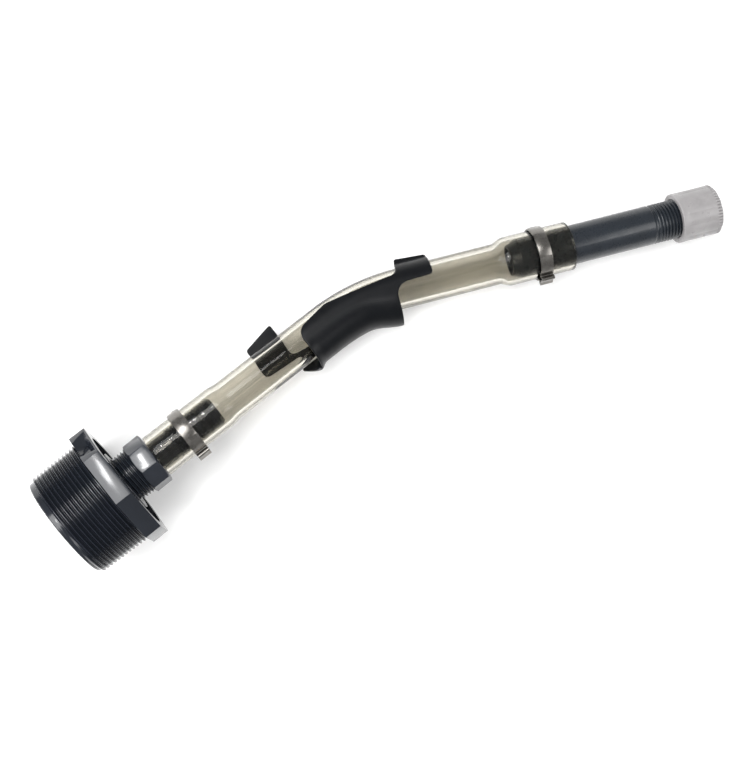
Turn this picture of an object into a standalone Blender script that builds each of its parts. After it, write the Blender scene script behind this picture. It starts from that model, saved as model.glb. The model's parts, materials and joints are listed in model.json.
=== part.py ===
"""Gravel vacuum siphon: a threaded bushing, a barbed adapter, a clear hose held in a bend
support, two ear clamps, and a threaded nipple closed by a screw cap.

Run with: blender --background --python part.py
The assembly is laid out flat first, with the bushing's axis along +X from its open thread
end and the hose bending towards -Y. The empty assembly_rest then turns it into the way
it lies on a table at z = 0.
"""
import math

import bmesh
import bpy
from mathutils import Matrix, Vector

MM = 0.001
CLEARANCE = 0.3 * MM

# ---- how the assembly lies on the table ----
REST_ROLL = math.radians(-14.798)
REST_PITCH = math.radians(6.928)
REST_SHIFT = (-189.052 * MM, 29.596 * MM, 37.975 * MM)

# ---- pipe threads: pitch, then the share of the pitch that the ridge stands and ends in ----
PITCH_LARGE = 25.4 * MM / 11.5
PITCH_SMALL = 25.4 * MM / 14.0
RIDGE_HEIGHT_SHARE = 0.70
RIDGE_CREST_SHARE = 0.10
FLANK_SLOPE = math.tan(math.radians(30.0))
THREAD_TAPER = 1.0 / 32.0
RIDGE_EMBED = 0.1 * MM
THREAD_CLEARANCE = 0.32 * MM

# ---- threaded bushing ----
BUSHING_THREAD_LENGTH = 29.2 * MM
BUSHING_TIP_RADIUS = 29.35 * MM
BUSHING_SEGMENTS = 36
FITTING_SEGMENTS = 24
BUSHING_LENGTH = 38.3 * MM
FLANGE_ACROSS_FLATS = 63.5 * MM
FLANGE_SIDES = 8
FLANGE_TURN = math.radians(-2.0)
FLANGE_BEVEL = 0.8 * MM
BUSHING_LIP = 1.6 * MM
MOUTH_RADIUS = 24.6 * MM
MOUTH_DEPTH = 19.0 * MM
WEB_THICKNESS = 4.5 * MM
POCKET_RADIUS = 27.2 * MM
HUB_RADIUS = 17.4 * MM
SCALLOP_RADIUS = 11.0 * MM
SCALLOP_RISE = 9.6 * MM
SCALLOP_TILT = math.radians(32.0)
SCALLOP_HALF_LENGTH = 12.0 * MM
SCALLOP_SEGMENTS = 32
BUSHING_RIDGE_START = 1.9 * MM
THREAD_FADE = 0.3
INSIDE_CORNER = 2.0 * MM

# ---- barbed adapter ----
ADAPTER_ENGAGED = 12.5 * MM
ADAPTER_EXPOSED = 8.1 * MM
ADAPTER_RIDGE_START = BUSHING_LENGTH - ADAPTER_ENGAGED + 0.9 * MM
ADAPTER_TIP_RADIUS = 12.7 * MM
WRENCH_LENGTH = 10.6 * MM
WRENCH_ACROSS_FLATS = 27.1 * MM
WRENCH_SIDES = 8
WRENCH_BEVEL = 0.7 * MM
WRENCH_CORE_RADIUS = 11.0 * MM
INSERT_LENGTH = 38.9 * MM
BARB_COUNT = 6
BARB_PITCH = 5.2 * MM
BARB_SETBACK = 2.2 * MM
BARB_LAND = 0.4 * MM
BARB_RADIUS = 8.5 * MM
BARB_ROOT_RADIUS = 7.6 * MM
INSERT_TIP_RADIUS = 7.1 * MM
ADAPTER_BORE_RADIUS = 6.2 * MM

# ---- clear hose ----
HOSE_INNER_RADIUS = 7.94 * MM
HOSE_OUTER_RADIUS = 11.11 * MM
HOSE_ON_BARB_INNER = BARB_RADIUS + CLEARANCE
HOSE_ON_BARB_OUTER = 11.9 * MM
HOSE_ON_NIPPLE_OUTER = 13.3 * MM
HOSE_SHOULDER = 7.0 * MM
HOSE_START = BUSHING_LENGTH + ADAPTER_EXPOSED + WRENCH_LENGTH + CLEARANCE
HOSE_SIDES_RESOLUTION = 8

# ---- centreline: straight, one bend towards -Y, straight ----
BEND_ANGLE = math.radians(24.3)
BEND_RADIUS = 110.0 * MM
CORNER_FROM_TIP = 191.5 * MM
CORNER_FROM_CAP_END = 203.3 * MM
BEND_TANGENT = BEND_RADIUS * math.tan(BEND_ANGLE / 2)
BEND_START = CORNER_FROM_TIP - BEND_TANGENT
BEND_LENGTH = BEND_RADIUS * BEND_ANGLE
BEND_END = BEND_START + BEND_LENGTH
BEND_MIDDLE = BEND_START + BEND_LENGTH / 2
PATH_LENGTH = BEND_END + CORNER_FROM_CAP_END - BEND_TANGENT

# ---- threaded nipple and its cap ----
NIPPLE_RADIUS = 10.67 * MM
NIPPLE_BORE_RADIUS = 6.95 * MM
NIPPLE_IN_HOSE = 34.0 * MM
NIPPLE_VISIBLE = 61.5 * MM
NIPPLE_IN_CAP = 12.5 * MM
NIPPLE_THREAD_EXPOSED = 15.0 * MM
NIPPLE_TIP_ROOT_RADIUS = 9.1 * MM
NIPPLE_END_CHAMFER = 2.4 * MM
NIPPLE_LENGTH = NIPPLE_IN_HOSE + NIPPLE_VISIBLE + NIPPLE_IN_CAP
NIPPLE_THREAD_START = NIPPLE_LENGTH - NIPPLE_IN_CAP - NIPPLE_THREAD_EXPOSED
NIPPLE_RIDGE_START = NIPPLE_THREAD_START + 1.2 * MM
CAP_RADIUS = 13.75 * MM
CAP_LENGTH = 24.1 * MM
CAP_CHAMFER = 1.4 * MM
CAP_DOME = 0.9 * MM
CAP_RIB_COUNT = 24
CAP_RIB_DEPTH = 0.45 * MM
CAP_GROOVE_RADIUS = 0.8 * MM
CAP_RIM_LENGTH = 3.0 * MM
CAP_RECESS_RADIUS = 7.4 * MM
CAP_RECESS_DEPTH = 4.4 * MM
WASHER_THICKNESS = 2.0 * MM
WASHER_RADIUS = 9.0 * MM
WASHER_HOLE_RADIUS = 5.0 * MM

# stations along the centreline, measured from the bushing's thread end
CAP_RIM_STATION = PATH_LENGTH - CAP_LENGTH + CAP_DOME
HOSE_END = CAP_RIM_STATION - NIPPLE_VISIBLE
NIPPLE_START = HOSE_END - NIPPLE_IN_HOSE
LOWER_CLAMP_STATION = HOSE_START + 19.8 * MM
UPPER_CLAMP_STATION = HOSE_END - 17.0 * MM
LOWER_FLEX_STATION = HOSE_START + INSERT_LENGTH + 22.0 * MM
UPPER_FLEX_STATION = NIPPLE_START - 13.0 * MM

# ---- ear clamps ----
BAND_WIDTH = 7.0 * MM
BAND_THICKNESS = 0.7 * MM
EAR_HEIGHT = 3.4 * MM
EAR_HALF_WIDTH = 3.6 * MM
EAR_NECK_HALF_WIDTH = 2.6 * MM
EAR_WAIST_SHARE = 0.8
EAR_WAIST_RISE = 0.9 * MM
EAR_CORNER = 0.55 * MM
BUMP_SIZE = (5.0 * MM, 7.5 * MM, 1.0 * MM)
BAND_SEGMENTS = 40

# ---- bend support, along the hose from the bend's middle and across it ----
SUPPORT_INNER_RADIUS = HOSE_OUTER_RADIUS + 0.45 * MM
SUPPORT_WALL = 1.8 * MM
CHANNEL_LOW_END = -38.3 * MM
CHANNEL_HIGH_END = 19.0 * MM
CHANNEL_GAP = 2.5 * MM
CHANNEL_SPREAD = 4.0 * MM
CHANNEL_SPREAD_FROM = -3.0 * MM
CHANNEL_FLARE = 2.0 * MM
CHANNEL_FLARE_LENGTH = 5.0 * MM
CHANNEL_DEEP = -30.0 * MM
KEEP_HEIGHT = 30.0 * MM
KEEP_OVERLAP = 0.02 * MM
WALL_TOP = 4.3 * MM
WALL_CREST = (-18.0 * MM, 6.6 * MM)
LOW_HOOK = (-63.4 * MM, -44.8 * MM)
LOW_HOOK_FOOT = -1.2 * MM
LOW_SPUR = (-46.0 * MM, -9.5 * MM)
LOW_EAR_SIDES = (16.2 * MM, 19.6 * MM)
HIGH_HOOK = (23.4 * MM, 40.6 * MM)
HIGH_HOOK_FOOT = -1.0 * MM
HIGH_TAB_SIDES = (15.3 * MM, 13.8 * MM)
HOOK_WRAP = math.radians(70.0)
LIP_LENGTH = 11.0 * MM
LIP_LEAN = math.radians(12.0)


# ---------------------------------------------------------------- scene helpers
def clear_scene():
    for obj in list(bpy.data.objects):
        bpy.data.objects.remove(obj, do_unlink=True)


def new_collection(name):
    group = bpy.data.collections.new(name)
    bpy.context.scene.collection.children.link(group)
    return group


def new_material(name, colour, roughness, metallic=0.0, alpha=1.0, transmission=0.0):
    material = bpy.data.materials.new(name)
    material.use_nodes = True
    shader = material.node_tree.nodes["Principled BSDF"]
    shader.inputs["Base Color"].default_value = (*colour, 1.0)
    shader.inputs["Roughness"].default_value = roughness
    shader.inputs["Metallic"].default_value = metallic
    shader.inputs["Alpha"].default_value = alpha
    shader.inputs["Transmission Weight"].default_value = transmission
    return material


def add_object(name, data, group, material=None):
    obj = bpy.data.objects.new(name, data)
    group.objects.link(obj)
    if material:
        data.materials.append(material)
    return obj


def add_empty(name, group, parent=None, location=(0, 0, 0), heading=0.0):
    empty = bpy.data.objects.new(name, None)
    empty.empty_display_size = 0.01
    group.objects.link(empty)
    empty.parent = parent
    empty.location = location
    empty.rotation_euler = (0, 0, heading)
    return empty


def mesh_from(name, bm):
    bmesh.ops.remove_doubles(bm, verts=bm.verts, dist=1e-7)
    bmesh.ops.recalc_face_normals(bm, faces=bm.faces)
    mesh = bpy.data.meshes.new(name)
    bm.to_mesh(mesh)
    bm.free()
    return mesh


def boolean(obj, cutter, operation="DIFFERENCE"):
    modifier = obj.modifiers.new(operation.title(), "BOOLEAN")
    modifier.operation = operation
    modifier.solver = "EXACT"
    modifier.object = cutter
    cutter.hide_render = True
    cutter.display_type = "WIRE"
    cutter.parent = obj.parent
    cutter.location = obj.location
    cutter.rotation_euler = obj.rotation_euler


def bevel(obj, width, segments=2, angle=math.radians(35)):
    modifier = obj.modifiers.new("Bevel", "BEVEL")
    modifier.width = width
    modifier.segments = segments
    modifier.limit_method = "ANGLE"
    modifier.angle_limit = angle


# ---------------------------------------------------------------- shape helpers
def turned_mesh(name, profile, segments):
    """Closed solid of revolution about +X from a closed profile of (x, radius) points."""
    bm = bmesh.new()
    verts = [bm.verts.new((x, 0, r)) for x, r in profile]
    edges = [bm.edges.new((verts[i - 1], verts[i])) for i in range(len(verts))
             if profile[i - 1][1] or profile[i][1]]
    bmesh.ops.spin(bm, geom=verts + edges, cent=(0, 0, 0), axis=(1, 0, 0),
                   angle=2 * math.pi, steps=segments, use_merge=True)
    return mesh_from(name, bm)


def prism_mesh(name, sides, across_flats, x_low, x_high):
    """Regular prism along +X with a flat on top."""
    bm = bmesh.new()
    corner = across_flats / 2 / math.cos(math.pi / sides)
    bmesh.ops.create_cone(bm, cap_ends=True, segments=sides, radius1=corner, radius2=corner,
                          depth=x_high - x_low)
    turn = Matrix.Rotation(math.pi / sides, 4, "Z")
    lay = Matrix.Rotation(math.pi / 2, 4, "Y")
    place = Matrix.Translation(((x_low + x_high) / 2, 0, 0))
    bmesh.ops.transform(bm, matrix=place @ lay @ turn, verts=bm.verts)
    return mesh_from(name, bm)


def ridge_mesh(name, x_low, x_high, pitch, root_radius_at, segments, offset=0.0, fades=(0, 0)):
    """Right-hand helical ridge about +X. A fade is the share of a turn over which it rises."""
    height = RIDGE_HEIGHT_SHARE * pitch
    crest = RIDGE_CREST_SHARE * pitch / 2
    base = crest + (height + RIDGE_EMBED) * FLANK_SLOPE
    steps = round((x_high - x_low) / pitch * segments)
    bm = bmesh.new()
    rings = []
    for step in range(steps + 1):
        turn = step / segments
        angle = 2 * math.pi * turn
        x = x_low + turn * pitch
        root = root_radius_at(x) + offset
        rise = height
        if fades[0]:
            rise = min(rise, height * turn / fades[0])
        if fades[1]:
            rise = min(rise, height * (steps - step) / segments / fades[1])
        section = [(-base, -RIDGE_EMBED), (-crest, rise), (crest, rise), (base, -RIDGE_EMBED)]
        radial = Vector((0, -math.sin(angle), math.cos(angle)))
        rings.append([bm.verts.new(radial * (root + r) + Vector((x + dx, 0, 0)))
                      for dx, r in section])
    for low, high in zip(rings, rings[1:]):
        for i in range(4):
            bm.faces.new((low[i - 1], low[i], high[i], high[i - 1]))
    bm.faces.new(rings[0])
    bm.faces.new(rings[-1])
    return mesh_from(name, bm)


def path_point(station, side=0.0, up=0.0):
    """Point on the flat centreline, moved sideways (to +Y at the start) and up."""
    if station < BEND_START:
        heading = 0.0
        point = Vector((station, 0, 0))
    else:
        heading = -min(station - BEND_START, BEND_LENGTH) / BEND_RADIUS
        point = Vector((BEND_START - BEND_RADIUS * math.sin(heading),
                        -BEND_RADIUS * (1 - math.cos(heading)), 0))
    along = Vector((math.cos(heading), math.sin(heading), 0))
    point += along * max(0.0, station - BEND_END)
    return point + Vector((-along.y, along.x, 0)) * side + Vector((0, 0, up))


def path_heading(station):
    return -min(max(station - BEND_START, 0.0), BEND_LENGTH) / BEND_RADIUS


def smooth_step(value):
    value = min(max(value, 0.0), 1.0)
    return value * value * (3 - 2 * value)


def tube_mesh(name, stations, radius_at, group):
    """Capped tube round the centreline whose radius changes along it."""
    curve = bpy.data.curves.new(name, "CURVE")
    curve.dimensions = "3D"
    curve.bevel_depth = 1.0
    curve.bevel_resolution = HOSE_SIDES_RESOLUTION
    curve.use_fill_caps = True
    spline = curve.splines.new("POLY")
    spline.points.add(len(stations) - 1)
    for point, station in zip(spline.points, stations):
        point.co = (*path_point(station), 1.0)
        point.radius = radius_at(station)
    holder = add_object(name + "_curve", curve, group)
    bpy.context.view_layer.update()
    solid = holder.evaluated_get(bpy.context.evaluated_depsgraph_get())
    bm = bmesh.new()
    bm.from_mesh(bpy.data.meshes.new_from_object(solid))
    bpy.data.objects.remove(holder)
    return mesh_from(name, bm)


def filleted(corners, steps=5):
    """Outline through corners of (x, y, fillet radius), with each corner rounded by an arc."""
    outline = []
    for i, (x, y, radius) in enumerate(corners):
        corner = Vector((x, y))
        before = (Vector(corners[i - 1][:2]) - corner).normalized()
        after = (Vector(corners[(i + 1) % len(corners)][:2]) - corner).normalized()
        half = before.angle(after) / 2
        if radius == 0 or abs(half - math.pi / 2) < 1e-3:
            outline.append(corner)
            continue
        start = corner + before * radius / math.tan(half)
        centre = corner + (before + after).normalized() * radius / math.sin(half)
        sweep = math.pi - 2 * half
        turn = 1 if before.cross(after) < 0 else -1
        arm = start - centre
        for step in range(steps + 1):
            arc = Matrix.Rotation(turn * sweep * step / steps, 2)
            outline.append(centre + arc @ arm)
    return outline


def outline_prism(name, outline, z_low, z_high, group):
    """Solid between two heights from an outline in stations and sideways distances."""
    curve = bpy.data.curves.new(name, "CURVE")
    curve.dimensions = "2D"
    curve.fill_mode = "BOTH"
    curve.extrude = (z_high - z_low) / 2
    spline = curve.splines.new("POLY")
    spline.use_cyclic_u = True
    spline.points.add(len(outline) - 1)
    for point, (station, side) in zip(spline.points, outline):
        flat = path_point(BEND_MIDDLE + station, side)
        point.co = (flat.x, flat.y, 0, 1)
    holder = add_object(name + "_curve", curve, group)
    bpy.context.view_layer.update()
    solid = holder.evaluated_get(bpy.context.evaluated_depsgraph_get())
    bm = bmesh.new()
    bm.from_mesh(bpy.data.meshes.new_from_object(solid))
    bmesh.ops.translate(bm, vec=(0, 0, (z_low + z_high) / 2), verts=bm.verts)
    bpy.data.objects.remove(holder)
    return mesh_from(name, bm)


def in_phase(x, ridge_start):
    """Highest x no further than the given one where a groove can start to match a ridge."""
    return ridge_start + math.floor((x - ridge_start) / PITCH_SMALL) * PITCH_SMALL


# ---------------------------------------------------------------- sub-parts
def bushing_root(x):
    return BUSHING_TIP_RADIUS - RIDGE_HEIGHT_SHARE * PITCH_LARGE + x * THREAD_TAPER


def adapter_root(x):
    tip = BUSHING_LENGTH - ADAPTER_ENGAGED
    return ADAPTER_TIP_RADIUS - RIDGE_HEIGHT_SHARE * PITCH_SMALL + (x - tip) * THREAD_TAPER


def nipple_root(x):
    return NIPPLE_TIP_ROOT_RADIUS + (NIPPLE_LENGTH - x) * THREAD_TAPER


def make_bushing(parts, cutters, material, parent):
    flange_low = BUSHING_THREAD_LENGTH
    flange_middle = (flange_low + BUSHING_LENGTH) / 2
    web_high = MOUTH_DEPTH + WEB_THICKNESS
    socket_low = BUSHING_LENGTH - ADAPTER_ENGAGED
    past = BUSHING_LENGTH + MM
    body = add_object("threaded_bushing", turned_mesh("threaded_bushing", [
        (0, 0), (0, bushing_root(0) - BUSHING_LIP / 4), (BUSHING_LIP / 4, bushing_root(0)),
        (flange_middle, bushing_root(flange_middle)), (flange_middle, 0)], BUSHING_SEGMENTS),
        parts, material)
    body.parent = parent
    flange = add_object("flange_block", prism_mesh("flange_block", FLANGE_SIDES,
                        FLANGE_ACROSS_FLATS, flange_low, BUSHING_LENGTH), cutters)
    flange.data.transform(Matrix.Rotation(-FLANGE_TURN, 4, "X"))
    bevel(flange, FLANGE_BEVEL, 2)
    boolean(body, flange, "UNION")
    half = SCALLOP_HALF_LENGTH
    onto_flat = Matrix.Rotation(-FLANGE_TURN - 2 * math.pi / FLANGE_SIDES, 4, "X")
    for side in (1, -1):
        notch = add_object(f"scallop_{side}", turned_mesh(f"scallop_{side}", [
            (-half, 0), (-half, SCALLOP_RADIUS), (half, SCALLOP_RADIUS), (half, 0)],
            SCALLOP_SEGMENTS), cutters)
        lean = Matrix.Rotation(side * SCALLOP_TILT, 4, "Y")
        drop = Matrix.Translation((flange_low, 0, side * (FLANGE_ACROSS_FLATS / 2 + SCALLOP_RISE)))
        notch.data.transform(onto_flat @ drop @ lean)
        boolean(flange, notch)
    ridge = add_object("bushing_ridge", ridge_mesh(
        "bushing_ridge", BUSHING_RIDGE_START, flange_low + PITCH_LARGE / 2, PITCH_LARGE,
        bushing_root, BUSHING_SEGMENTS, fades=(THREAD_FADE, 0)), cutters)
    passage = add_object("bushing_passage", turned_mesh("bushing_passage", [
        (-MM, 0), (-MM, MOUTH_RADIUS + BUSHING_LIP), (BUSHING_LIP / 2, MOUTH_RADIUS),
        (MOUTH_DEPTH - INSIDE_CORNER, MOUTH_RADIUS), (MOUTH_DEPTH, MOUTH_RADIUS - INSIDE_CORNER),
        (MOUTH_DEPTH, ADAPTER_BORE_RADIUS), (socket_low - MM, ADAPTER_BORE_RADIUS),
        (socket_low, adapter_root(socket_low) + THREAD_CLEARANCE),
        (past, adapter_root(past) + THREAD_CLEARANCE), (past, 0)], BUSHING_SEGMENTS), cutters)
    pocket = add_object("flange_pocket", turned_mesh("flange_pocket", [
        (web_high, HUB_RADIUS), (web_high, POCKET_RADIUS - INSIDE_CORNER),
        (web_high + INSIDE_CORNER, POCKET_RADIUS), (past, POCKET_RADIUS), (past, HUB_RADIUS)],
        BUSHING_SEGMENTS), cutters)
    socket = add_object("hub_ridge", ridge_mesh(
        "hub_ridge", in_phase(socket_low - 0.8 * MM, ADAPTER_RIDGE_START),
        BUSHING_LENGTH + 2 * MM, PITCH_SMALL, adapter_root, FITTING_SEGMENTS,
        offset=THREAD_CLEARANCE), cutters)
    boolean(body, ridge, "UNION")
    boolean(body, passage)
    boolean(body, pocket)
    boolean(body, socket)
    return body


def make_adapter(parts, cutters, material, parent):
    tip = BUSHING_LENGTH - ADAPTER_ENGAGED
    wrench_low = BUSHING_LENGTH + ADAPTER_EXPOSED
    wrench_high = wrench_low + WRENCH_LENGTH
    insert_tip = wrench_high + CLEARANCE + INSERT_LENGTH
    profile = [(tip, ADAPTER_BORE_RADIUS), (tip, adapter_root(tip)),
               (wrench_low + MM, adapter_root(wrench_low)), (wrench_low + MM, WRENCH_CORE_RADIUS),
               (wrench_high - MM, WRENCH_CORE_RADIUS), (wrench_high - MM, BARB_ROOT_RADIUS)]
    first_barb = insert_tip - BARB_SETBACK - (BARB_COUNT - 1) * BARB_PITCH
    for barb in range(BARB_COUNT):
        x = first_barb + barb * BARB_PITCH
        profile += [(x, BARB_ROOT_RADIUS), (x, BARB_RADIUS), (x + BARB_LAND, BARB_RADIUS)]
    profile += [(insert_tip, INSERT_TIP_RADIUS), (insert_tip, ADAPTER_BORE_RADIUS)]
    body = add_object("barb_adapter", turned_mesh("barb_adapter", profile, FITTING_SEGMENTS),
                      parts, material)
    body.parent = parent
    wrench = add_object("wrench_block", prism_mesh("wrench_block", WRENCH_SIDES,
                        WRENCH_ACROSS_FLATS, wrench_low, wrench_high), cutters)
    bevel(wrench, WRENCH_BEVEL, 2)
    bore = add_object("adapter_bore", turned_mesh("adapter_bore", [
        (tip - MM, 0), (tip - MM, ADAPTER_BORE_RADIUS), (insert_tip + MM, ADAPTER_BORE_RADIUS),
        (insert_tip + MM, 0)], FITTING_SEGMENTS), cutters)
    boolean(body, wrench, "UNION")
    boolean(wrench, bore)
    ridge = add_object("adapter_ridge", ridge_mesh(
        "adapter_ridge", ADAPTER_RIDGE_START, wrench_low + MM, PITCH_SMALL, adapter_root,
        FITTING_SEGMENTS, fades=(THREAD_FADE, 0)), cutters)
    boolean(body, ridge, "UNION")
    return body


def hose_blend(station):
    """Share of the barb's and of the nipple's stretch at a station."""
    barb_tip = HOSE_START + INSERT_LENGTH
    on_barb = 1 - smooth_step((station - barb_tip - MM) / HOSE_SHOULDER)
    on_nipple = smooth_step((station - NIPPLE_START + HOSE_SHOULDER + MM) / HOSE_SHOULDER)
    return on_barb, on_nipple


def hose_outer(station):
    on_barb, on_nipple = hose_blend(station)
    return (HOSE_OUTER_RADIUS + on_barb * (HOSE_ON_BARB_OUTER - HOSE_OUTER_RADIUS)
            + on_nipple * (HOSE_ON_NIPPLE_OUTER - HOSE_OUTER_RADIUS))


def hose_inner(station):
    on_barb, on_nipple = hose_blend(station)
    return (HOSE_INNER_RADIUS + on_barb * (HOSE_ON_BARB_INNER - HOSE_INNER_RADIUS)
            + on_nipple * (NIPPLE_RADIUS + CLEARANCE - HOSE_INNER_RADIUS))


def make_hose(parts, cutters, material, parent):
    barb_tip = HOSE_START + INSERT_LENGTH
    shoulder = [share * HOSE_SHOULDER for share in (0, 0.25, 0.5, 0.75, 1)]
    bend = [BEND_START + BEND_LENGTH * i / 8 for i in range(9)]
    stations = [barb_tip + MM + step for step in shoulder] + bend
    stations += [NIPPLE_START - MM - HOSE_SHOULDER + step for step in shoulder]
    body = add_object("clear_hose", tube_mesh(
        "clear_hose", [HOSE_START, *stations, HOSE_END], hose_outer, cutters), parts, material)
    lumen = add_object("hose_lumen", tube_mesh(
        "hose_lumen", [HOSE_START - MM, *stations, HOSE_END + MM], hose_inner, cutters), cutters)
    body.parent = parent
    body.location = -Vector(parent.location)
    boolean(body, lumen)
    return body


def make_clamp(name, station, hose_radius, parts, cutters, material, parent):
    """Pinched ear clamp: one closed strip round the hose with a hollow ear on the bend's inside."""
    radius = hose_radius + CLEARANCE
    neck = math.asin(EAR_NECK_HALF_WIDTH / radius)
    loop = []
    for step in range(BAND_SEGMENTS + 1):
        angle = neck + (2 * math.pi - 2 * neck) * step / BAND_SEGMENTS
        loop.append((radius * math.sin(angle), radius * math.cos(angle)))
    top = radius + EAR_HEIGHT - BAND_THICKNESS
    waist, shoulder = EAR_NECK_HALF_WIDTH * EAR_WAIST_SHARE, EAR_HALF_WIDTH - EAR_CORNER
    loop += [(-waist, radius + EAR_WAIST_RISE), (-EAR_HALF_WIDTH, top - EAR_CORNER),
             (-shoulder, top), (shoulder, top), (EAR_HALF_WIDTH, top - EAR_CORNER),
             (waist, radius + EAR_WAIST_RISE)]
    bm = bmesh.new()
    low = [bm.verts.new((-BAND_WIDTH / 2, z, y)) for z, y in loop]
    high = [bm.verts.new((BAND_WIDTH / 2, z, y)) for z, y in loop]
    for i in range(len(loop)):
        bm.faces.new((low[i - 1], low[i], high[i], high[i - 1]))
    bmesh.ops.recalc_face_normals(bm, faces=bm.faces)
    turn = Matrix.Rotation(math.pi / 2, 4, "X")
    bmesh.ops.transform(bm, matrix=turn, verts=bm.verts)
    mesh = bpy.data.meshes.new(name)
    bm.to_mesh(mesh)
    bm.free()
    body = add_object(name, mesh, parts, material)
    solid = body.modifiers.new("Band", "SOLIDIFY")
    solid.thickness = BAND_THICKNESS
    solid.offset = 1
    plate = bmesh.new()
    bmesh.ops.create_cube(plate, size=1.0)
    along, across, rise = BUMP_SIZE
    place = Matrix.Translation((0, radius + rise / 2 + 0.1 * MM, 0))
    scale = Matrix.Diagonal((along, rise + BAND_THICKNESS, across, 1))
    bmesh.ops.transform(plate, matrix=place @ scale, verts=plate.verts)
    bump = add_object(name + "_bump", mesh_from(name + "_bump", plate), cutters)
    body.parent = parent
    body.location = path_point(station)
    body.rotation_euler = (0, 0, path_heading(station))
    boolean(body, bump, "UNION")
    return body


def support_section(station):
    """Cross-section of the channel's inner face: sideways and up, from under to over the hose."""
    radius = SUPPORT_INNER_RADIUS
    spread = (station - CHANNEL_SPREAD_FROM) / (CHANNEL_HIGH_END - CHANNEL_SPREAD_FROM)
    flare = 1 + (CHANNEL_LOW_END - station) / CHANNEL_FLARE_LENGTH
    depth = (CHANNEL_GAP + CHANNEL_SPREAD * smooth_step(spread)
             + CHANNEL_FLARE * min(max(flare, 0.0), 1.0) ** 2)
    quarter = [math.pi / 2 * step / 7 for step in range(8)]
    half_section = [(-depth - radius * math.cos(a), radius * math.sin(a)) for a in quarter]
    for step in range(6):
        wrap = HOOK_WRAP * step / 5
        half_section.append((radius * math.sin(wrap), radius * math.cos(wrap)))
    side, up = half_section[-1]
    half_section.append((side + LIP_LENGTH * math.cos(LIP_LEAN),
                         up - LIP_LENGTH * math.sin(LIP_LEAN)))
    mirrored = [(side, -up) for side, up in reversed(half_section[1:])]
    return mirrored + half_section


def support_outlines():
    """What is kept of the sheet over the hose, and what is kept of it under the hose."""
    low, high, deep = CHANNEL_LOW_END, CHANNEL_HIGH_END, CHANNEL_DEEP
    over = filleted([
        (low, deep, 0), (high, deep, 0), (high, HIGH_HOOK_FOOT, 8 * MM),
        (HIGH_HOOK[1], HIGH_HOOK_FOOT + 0.8 * MM, 2 * MM),
        (HIGH_HOOK[1], HIGH_TAB_SIDES[1], 1.5 * MM), (HIGH_HOOK[0], HIGH_TAB_SIDES[0], 0.8 * MM),
        (HIGH_HOOK[0] - 2 * MM, WALL_TOP, 4 * MM), (*WALL_CREST, 20 * MM), (low, 3.6 * MM, 7 * MM)])
    under = filleted([
        (high, deep, 0), (low, deep, 0), (low, -18 * MM, 0), (*LOW_SPUR, 1 * MM),
        (low, 3 * LOW_HOOK_FOOT, 2 * MM),
        (LOW_HOOK[0], LOW_HOOK_FOOT, 3.5 * MM), (LOW_HOOK[0], LOW_EAR_SIDES[0], 1.5 * MM),
        (LOW_HOOK[1], LOW_EAR_SIDES[1], 1 * MM), (LOW_HOOK[1], 0.5 * MM, 4 * MM),
        (-34 * MM, -1.5 * MM, 3 * MM), (-22 * MM, 5.5 * MM, 8 * MM), (10 * MM, 5.5 * MM, 10 * MM),
        (high, -8 * MM, 4 * MM)])
    return over, under


def make_support(parts, cutters, material, parent):
    low, high = LOW_HOOK[0] - 2 * MM, HIGH_HOOK[1] + 2 * MM
    flare = CHANNEL_FLARE_LENGTH
    marks = [low, -52 * MM, -44 * MM, CHANNEL_LOW_END, CHANNEL_LOW_END + flare / 2,
             CHANNEL_LOW_END + flare, -24 * MM, -16 * MM, -9 * MM, CHANNEL_SPREAD_FROM,
             1.5 * MM, 6 * MM, 10.5 * MM, 15 * MM, CHANNEL_HIGH_END, 30 * MM, high]
    bm = bmesh.new()
    rows = []
    for mark in marks:
        rows.append([bm.verts.new(path_point(BEND_MIDDLE + mark, side, up))
                     for side, up in support_section(mark)])
    for near, far in zip(rows, rows[1:]):
        for i in range(len(near) - 1):
            bm.faces.new((near[i], near[i + 1], far[i + 1], far[i]))
    mesh = bpy.data.meshes.new("bend_support")
    bm.to_mesh(mesh)
    bm.free()
    body = add_object("bend_support", mesh, parts, material)
    body.parent = parent
    body.location = -Vector(parent.location)
    wall = body.modifiers.new("Wall", "SOLIDIFY")
    wall.thickness = SUPPORT_WALL
    wall.offset = -1
    over, under = support_outlines()
    keep = add_object("keep_over", outline_prism(
        "keep_over", over, 0, KEEP_HEIGHT, cutters), cutters)
    keep_under = add_object("keep_under", outline_prism(
        "keep_under", under, -KEEP_HEIGHT, KEEP_OVERLAP, cutters), cutters)
    boolean(body, keep, "INTERSECT")
    boolean(keep, keep_under, "UNION")
    return body


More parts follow.
